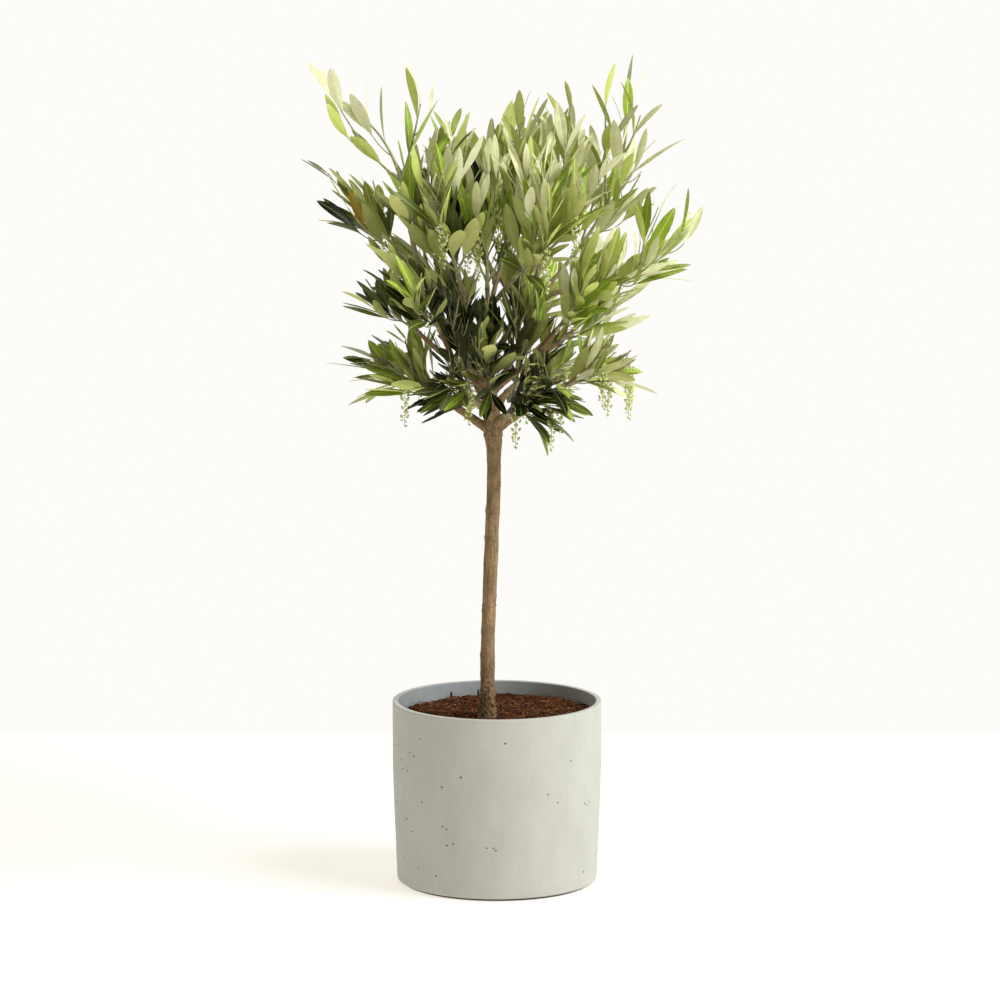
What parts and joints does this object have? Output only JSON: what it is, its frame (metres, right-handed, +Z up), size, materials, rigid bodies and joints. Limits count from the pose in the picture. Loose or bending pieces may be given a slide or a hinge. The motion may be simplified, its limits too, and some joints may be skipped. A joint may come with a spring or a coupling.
{
  "type": "potted olive tree",
  "caption": "Young olive tree on a clear stem with a full crown that opens at the top, growing in a round, straight-sided concrete planter.",
  "frame": {"origin": "centre of the planter's flat underside", "axes": "+Z up along the stem, +X to the right and -Y towards the viewer as the tree is seen from its front"},
  "size_m": [0.426, 0.3316, 0.8864],
  "materials": {
    "planter": "matt cast concrete with small pinholes",
    "potting_soil": "loose reddish-brown coco fibre and crumbs",
    "bark": "dull grey-brown bark with fine upright grain",
    "foliage": "green upper sides with a soft gloss, pale silvery undersides"
  },
  "bodies": {
    "root": {"planter": "planter", "soil": "potting_soil", "trunk": "bark", "bough_back_high": "bark", "bough_back_left": "bark", "bough_back_low": "bark", "bough_back_right": "bark", "bough_back_right_high": "bark", "bough_back_right_low": "bark", "bough_front_high": "bark", "bough_front_left": "bark", "bough_front_left_high": "bark", "bough_front_left_low": "bark", "bough_front_low": "bark", "bough_front_mid": "bark", "bough_front_right": "bark", "bough_inner_left": "bark", "bough_inner_right": "bark", "bough_left_arch": "bark", "bough_left_high": "bark", "bough_left_low": "bark", "bough_left_mid": "bark", "bough_left_top": "bark", "bough_right_high": "bark", "bough_right_low": "bark", "bough_right_mid": "bark", "bough_right_outer": "bark", "bough_right_top": "bark", "bough_top_back": "bark", "bough_top_front": "bark", "foliage_back_high": "foliage", "foliage_back_left": "foliage", "foliage_back_low": "foliage", "foliage_back_right": "foliage", "foliage_back_right_high": "foliage", "foliage_back_right_low": "foliage", "foliage_front_high": "foliage", "foliage_front_left": "foliage", "foliage_front_left_high": "foliage", "foliage_front_left_low": "foliage", "foliage_front_low": "foliage", "foliage_front_mid": "foliage", "foliage_front_right": "foliage", "foliage_inner_left": "foliage", "foliage_inner_right": "foliage", "foliage_left_arch": "foliage", "foliage_left_high": "foliage", "foliage_left_low": "foliage", "foliage_left_mid": "foliage", "foliage_left_top": "foliage", "foliage_right_high": "foliage", "foliage_right_low": "foliage", "foliage_right_mid": "foliage", "foliage_right_outer": "foliage", "foliage_right_top": "foliage", "foliage_top_back": "foliage", "foliage_top_front": "foliage"}
  },
  "joints": []
}
